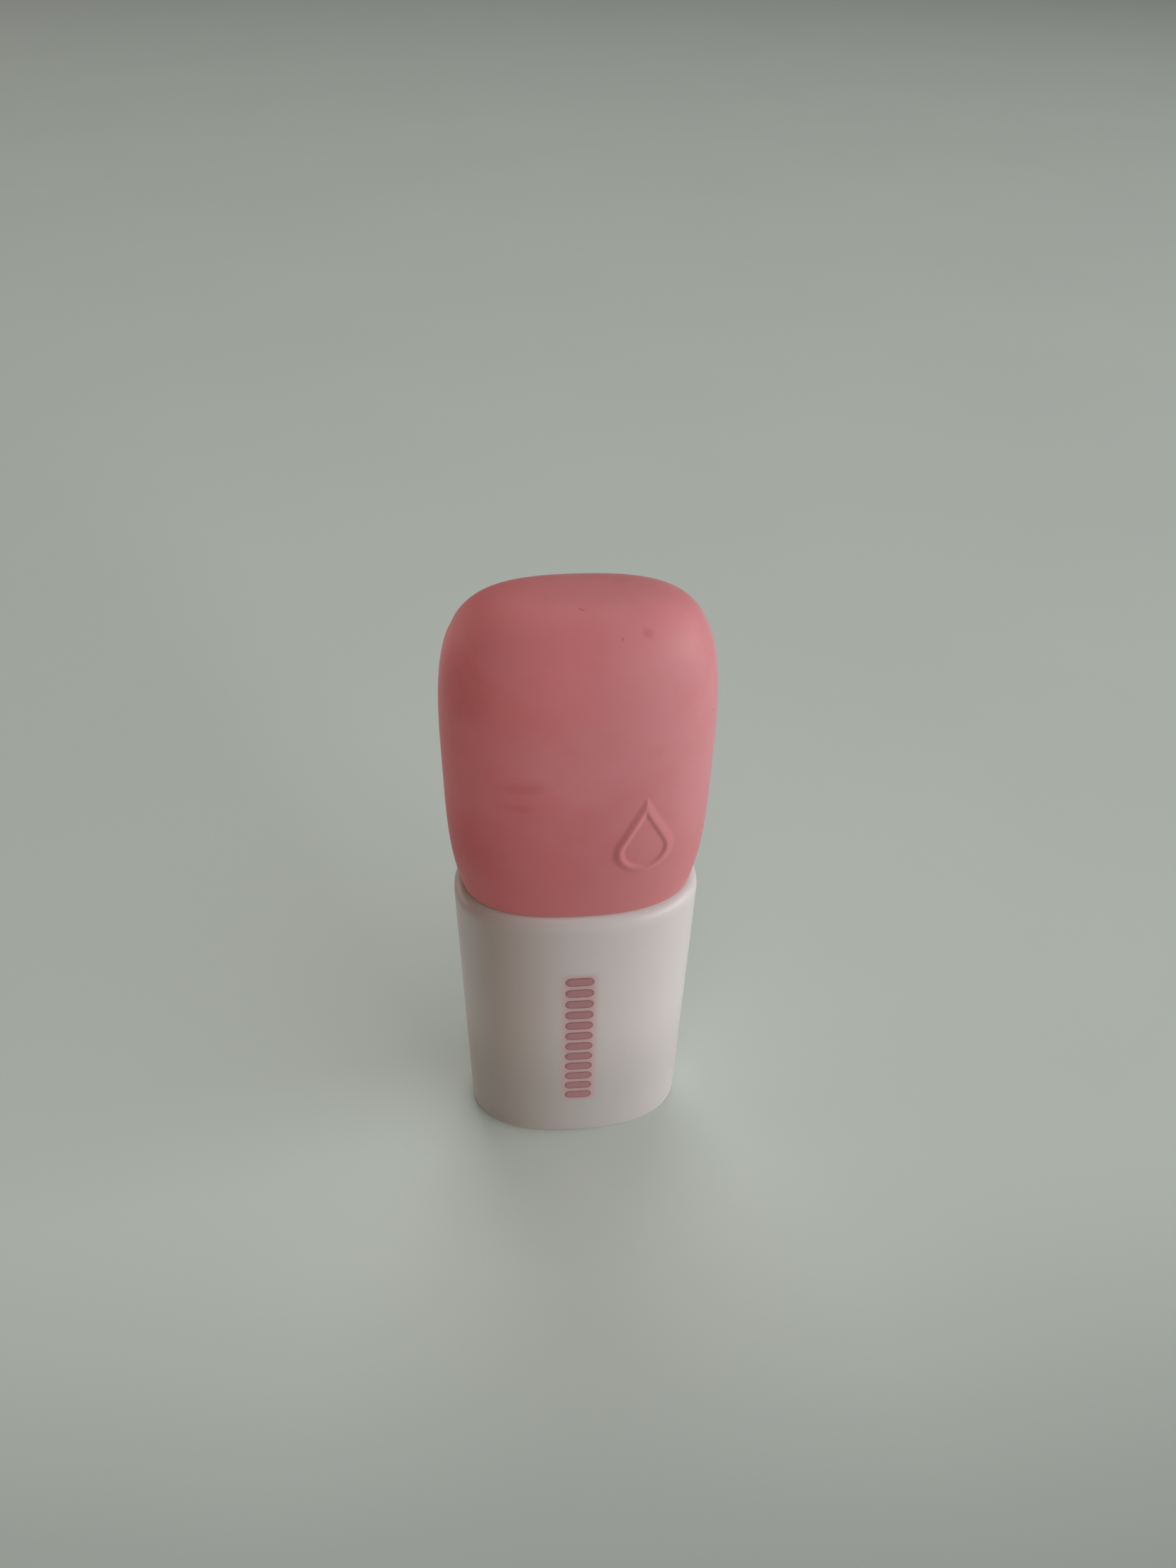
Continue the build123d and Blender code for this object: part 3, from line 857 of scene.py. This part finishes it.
softPlastic = {
    "colour": paint(225, 224, 216),
    "stain": paint(214, 140, 142),
    "stainHeight": (45, 52),
    "stainTop": 0.1,  # what is left of the stain above that
    "patchy": {"size": 1.6, "detail": 4, "levels": (0.35, 0.6)},
    "grain": {"size": 0.3, "depth": 0.004},
    "shader": {"Roughness": 0.45, "Subsurface Weight": 0.3, "Subsurface Scale": mm},
}


def wiperFinish():
    material, tree, shader, place = newFinish("naturalWiperPlastic", softPlastic["shader"])
    height = node(tree, "SeparateXYZ", {"Vector": place}).outputs["Z"]
    low = fade(tree, height, softPlastic["stainHeight"], 1, softPlastic["stainTop"])
    stain = calc(tree, "MULTIPLY", low, blotches(tree, place, **softPlastic["patchy"]))
    setColour(tree, shader, blend(tree, stain, softPlastic["colour"], softPlastic["stain"]))
    grain(tree, shader, place, **softPlastic["grain"])
    return material


collar = {
    "colour": paint(232, 229, 224),
    "shade": paint(222, 218, 212),
    "cloud": {"size": 3, "detail": 3},
    "levels": (0.3, 0.7),  # of the cloud, between which the roughness changes
    "roughness": (0.32, 0.42),
    "rings": {"Scale": 400.0, "Distortion": 1.0, "Detail": 2.0},  # left by turning the mould
    "ringDepth": 0.004,
}


def innerCapFinish():
    material, tree, shader, place = newFinish("whiteMouldedPlastic", {})
    cloud = noise(tree, place, **collar["cloud"])
    setColour(tree, shader, blend(tree, cloud, collar["shade"], collar["colour"]))
    tree.links.new(ramp(tree, cloud, *collar["levels"], *collar["roughness"]), shader.inputs["Roughness"])
    rings = node(tree, "TexWave", {"Vector": place, **collar["rings"]}, bands_direction="Z")
    bump(tree, shader, rings.outputs["Fac"], collar["ringDepth"])
    return material


foam = {
    "colour": paint(238, 236, 228),
    # painted shade: darker in the hollow of each cell
    "cell": paint(206, 203, 194),
    "cellSize": 0.16,
    "cellEdge": (0.2, 0.7),  # from the middle of a cell, as shares of its size
    "depth": 0.03,
    "shader": {"Roughness": 0.85},
}


def linerFinish():
    material, tree, shader, place = newFinish("closedCellFoam", foam["shader"])
    inputs = {"Vector": place, "Scale": 1 / (foam["cellSize"] * mm)}
    cells = node(tree, "TexVoronoi", inputs).outputs["Distance"]
    # painted shade in each cell's hollow, where the bump sinks it
    colour = blend(tree, ramp(tree, cells, *foam["cellEdge"]), foam["cell"], foam["colour"])
    setColour(tree, shader, colour)
    bump(tree, shader, cells, foam["depth"])
    return material


rod = {
    "colour": paint(236, 233, 229),
    "stain": paint(206, 92, 98),
    "wetHeight": (32, 43),
    "streaks": {"size": 1.1, "detail": 3, "rough": 0.6, "stretch": (1, 1, 0.18)},
    "streakLength": 9,
    "film": {"size": 0.9, "detail": 4, "rough": 0.6, "levels": (0.3, 0.62), "values": (0.35, 1.0)},
    "grain": {"size": 0.8, "detail": 3, "depth": 0.008},
    "shader": {"Roughness": 0.25},
}


def stemFinish():
    # clean white rod whose lower end is filmed with tint
    material, tree, shader, place = newFinish("whiteStemPlastic", rod["shader"])
    height = node(tree, "SeparateXYZ", {"Vector": place}).outputs["Z"]
    streaks = calc(tree, "MULTIPLY", noise(tree, place, **rod["streaks"]), rod["streakLength"] * mm)
    wet = fade(tree, calc(tree, "ADD", height, streaks), rod["wetHeight"], 1, 0)
    film = calc(tree, "MULTIPLY", wet, blotches(tree, place, **rod["film"]))
    setColour(tree, shader, blend(tree, film, rod["colour"], rod["stain"]))
    grain(tree, shader, place, **rod["grain"])
    return material


label = {
    "colour": paint(236, 236, 233),
    "shade": paint(224, 224, 220),
    "cloud": {"size": 1.5, "detail": 4},
    "grain": {"size": 0.25, "detail": 3, "depth": 0.004},
    "shader": {"Roughness": 0.28},
}


def labelFinish():
    material, tree, shader, place = newFinish("bareFilm", label["shader"])
    cloud = noise(tree, place, **label["cloud"])
    setColour(tree, shader, blend(tree, cloud, label["shade"], label["colour"]))
    grain(tree, shader, place, **label["grain"])
    return material


wear("lip_tint", tintFinish())
wear("wiper", wiperFinish())
wear("inner_cap", innerCapFinish())
wear("cap_liner", linerFinish())
wear("applicator_stem", stemFinish())
wear("base_label", labelFinish())


# applicator tip: a slanted core under a coat of short fibres soaked with tint

tip = {
    "bottom": 6.6,
    "top": 19.57,
    "radius": 1.9,
    "columns": 72,
    "levels": 64,
    "slantTop": 14.1,
    "slantY": 0.7,  # where the slanted face ends at the bottom
    "slantInset": 1.06,  # along Y for each mm that the core lies inside the fibres
    "slantSoft": 0.22,  # rounding of the slanted face's edges
    "endRadius": 0.6,
    "socketRadius": 1.08,
    "socketHeights": (17.0, 15.2),
}
flock = {
    "fibres": 9000,
    "length": 0.24,  # which the core leaves room for
    "halfThickness": 0.016,
    "sunk": 0.03,  # root below the core's surface
    "skin": 0.02,  # gap between the longest fibre and the tip's outside
    "topGap": 0.05,
    "endBand": 0.35,  # above the bottom, where the fibres point down as well
    "droop": (0.2, 0.8),
    "lean": 0.35,
    "lengths": (0.75, 0.98),
    "seed": 11,
    "colour": paint(176, 58, 70),
    "root": paint(138, 34, 48),
    "patchy": {"size": 0.8, "detail": 4, "rough": 0.6, "levels": (0.35, 0.65)},
    "grain": {"size": 0.06, "depth": 0.01},
    "shader": {"Roughness": 0.6, "Sheen Weight": 0.5},
}


def slantAt(height):
    # y of the slanted face at a height, at the outside of the fibres
    share = (tip["slantTop"] - height) / (tip["slantTop"] - tip["bottom"])
    return -tip["radius"] + share * (tip["slantY"] + tip["radius"])


def tipPoint(turn, height, inset):
    # a point of the tip's outside, moved in by inset
    foot = max(0.0, tip["bottom"] + tip["endRadius"] - height)
    pull = tip["endRadius"] - math.sqrt(max(0.0, tip["endRadius"] ** 2 - foot**2))
    radius = tip["radius"] - inset - pull
    x, y = math.cos(turn) * radius, math.sin(turn) * radius
    edge = slantAt(height) + inset * tip["slantInset"]
    gap = y - edge
    return x, edge + (gap + math.hypot(gap, tip["slantSoft"])) / 2, height


def addFibre(draw, low, high, points, faces):
    # a thin spike that stands on the core at a drawn place and leans by a drawn amount
    turn = draw.uniform(-math.pi, math.pi)
    height = draw.uniform(low, high - flock["topGap"])
    root = Vector(tipPoint(turn, height, flock["length"] + flock["sunk"]))
    skin = Vector(tipPoint(turn, height, flock["skin"]))
    if height < low + flock["endBand"]:
        skin.z -= flock["length"] * draw.uniform(*flock["droop"])
    out = (skin - root).normalized()
    lean = Vector([draw.uniform(-flock["lean"], flock["lean"]) for axis in range(3)])
    end = root + (out + lean).normalized() * (skin - root).length * draw.uniform(*flock["lengths"])
    across = out.orthogonal().normalized()
    along = out.cross(across)
    start = len(points)
    for step in range(3):
        angle = 2 * math.pi * step / 3
        sideways = across * math.cos(angle) + along * math.sin(angle)
        points.append(tuple(root + sideways * flock["halfThickness"]))
    points.append(tuple(end))
    faces += [(start + a, start + b, start + c) for a, b, c in ((0, 1, 3), (1, 2, 3), (2, 0, 3), (2, 1, 0))]


def makeTip(finish):
    draw = random.Random(flock["seed"])
    turns = evenTurns(tip["columns"])
    low, high = tip["bottom"] + flock["length"], tip["top"]
    rings = []
    for height in spread(low, high, tip["levels"]):
        rings.append([tipPoint(turn, height, flock["length"]) for turn in turns])
    rings += [roundRing(turns, tip["socketRadius"], height) for height in (high, *tip["socketHeights"])]
    points, faces = loftRings(rings)
    for fibre in range(flock["fibres"]):
        addFibre(draw, low, high, points, faces)
    addPiece("flockedTip", points, faces, finish, "cap", ["applicator_tip"])


def flockFinish():
    material, tree, shader, place = newFinish("soakedFlock", flock["shader"])
    patches = blotches(tree, place, **flock["patchy"])
    setColour(tree, shader, blend(tree, patches, flock["root"], flock["colour"]))
    grain(tree, shader, place, **flock["grain"])
    return material


makeTip(flockFinish())
print("all pieces made")
